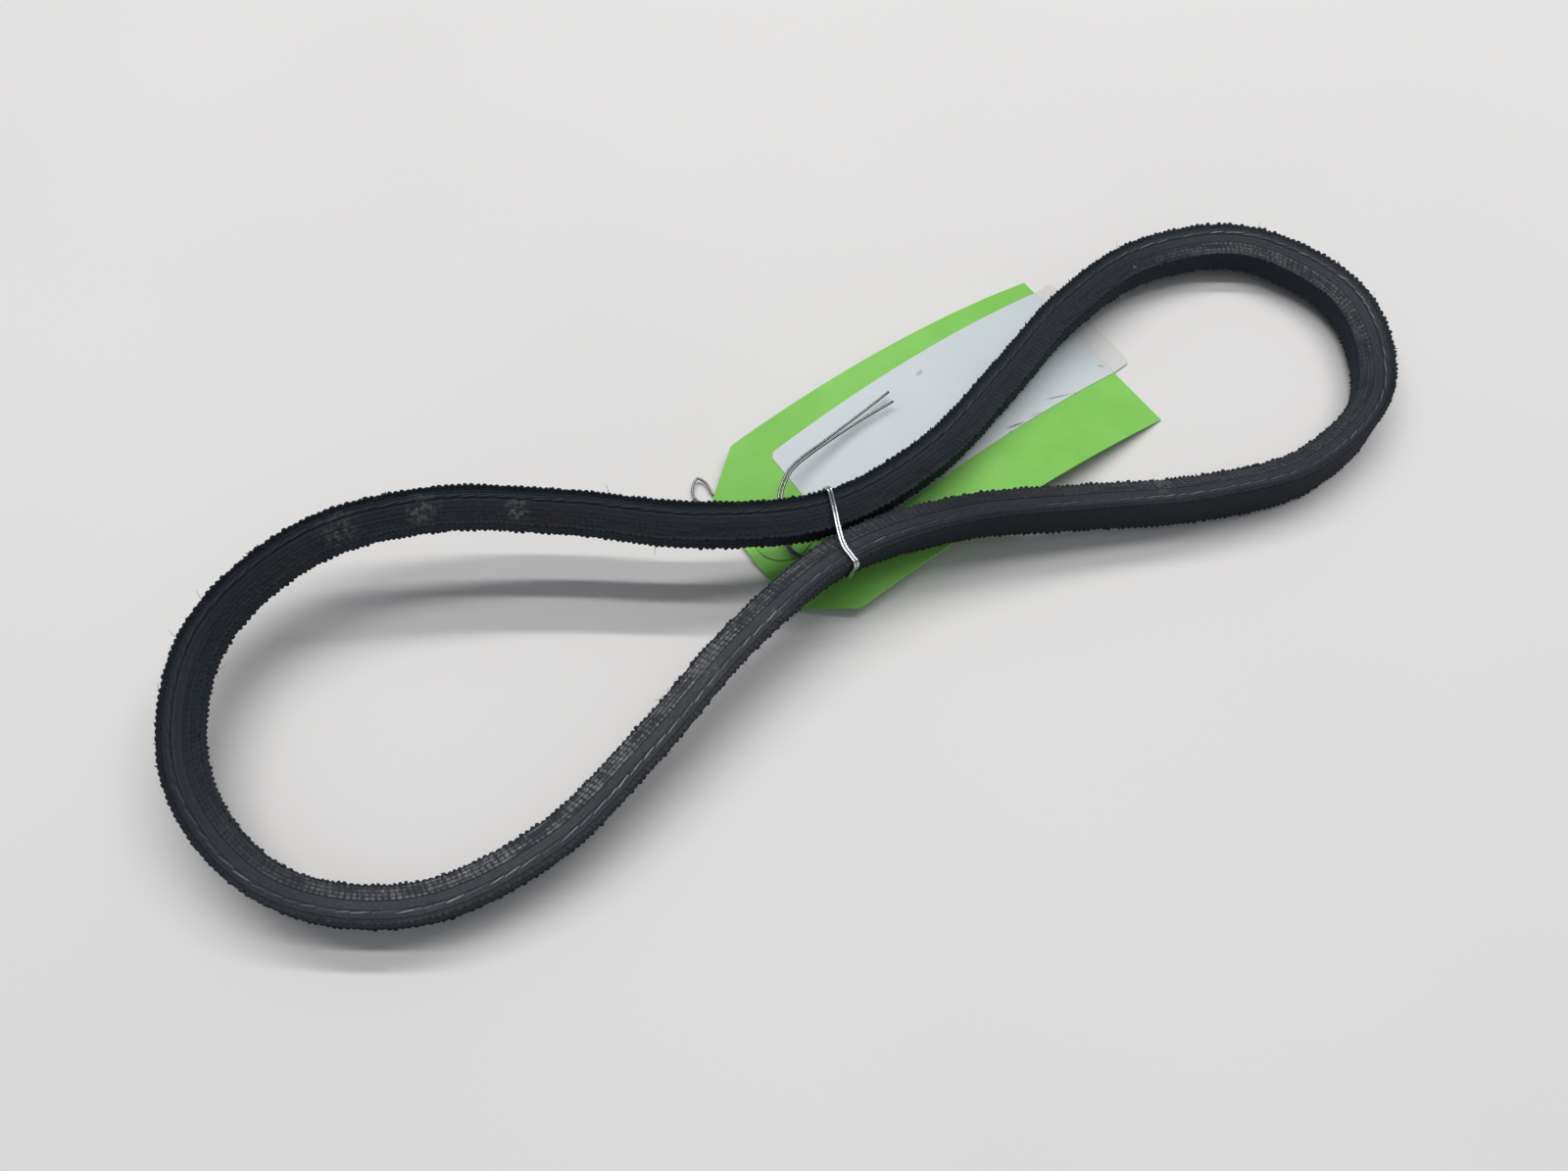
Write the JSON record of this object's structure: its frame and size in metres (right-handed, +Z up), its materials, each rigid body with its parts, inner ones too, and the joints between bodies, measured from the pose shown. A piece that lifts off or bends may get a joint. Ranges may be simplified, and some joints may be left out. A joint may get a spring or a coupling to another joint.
{
  "type": "v belt",
  "caption": "Layered raw-edge V belt, pinched into a figure of eight by a wire that also holds a bowed shipping tag with a blank label.",
  "frame": {"origin": "centre of the whole part's box, on the surface it lies on", "axes": "+X along the tied belt's long axis, towards the lobe that lies flat; +Y to the side the tag sticks out; +Z up"},
  "size_m": [0.2734, 0.0889, 0.0271],
  "materials": {
    "back_fabric": "matt",
    "belt_rubber": "matt",
    "adhesion_gum": "matt",
    "tensile_cord": "matt",
    "base_fabric": "matt",
    "wire": "bright",
    "tag_card": "matt",
    "hole_patch": "matt",
    "label": "satin"
  },
  "bodies": {
    "belt": {"back_ply_outer": "back_fabric", "back_ply_inner": "back_fabric", "overcord_rubber": "belt_rubber", "adhesion_gum_upper": "adhesion_gum", "tensile_cord": "tensile_cord", "adhesion_gum_lower": "adhesion_gum", "undercord_rubber": "belt_rubber", "base_ply_1": "base_fabric", "base_ply_2": "base_fabric", "base_ply_3": "base_fabric", "base_ply_4": "base_fabric", "tie_wire": "wire"},
    "tag": {"tag_card": "tag_card", "hole_patch_upper": "hole_patch", "hole_patch_lower": "hole_patch", "tag_label": "label"}
  },
  "joints": [
    {"name": "tag_swing", "type": "hinge", "parent": "belt", "child": "tag", "pos_m": [-0.00925, 0.00497, 0.0025], "axis": [0, 0, 1], "range_deg": [0, 20]}
  ]
}
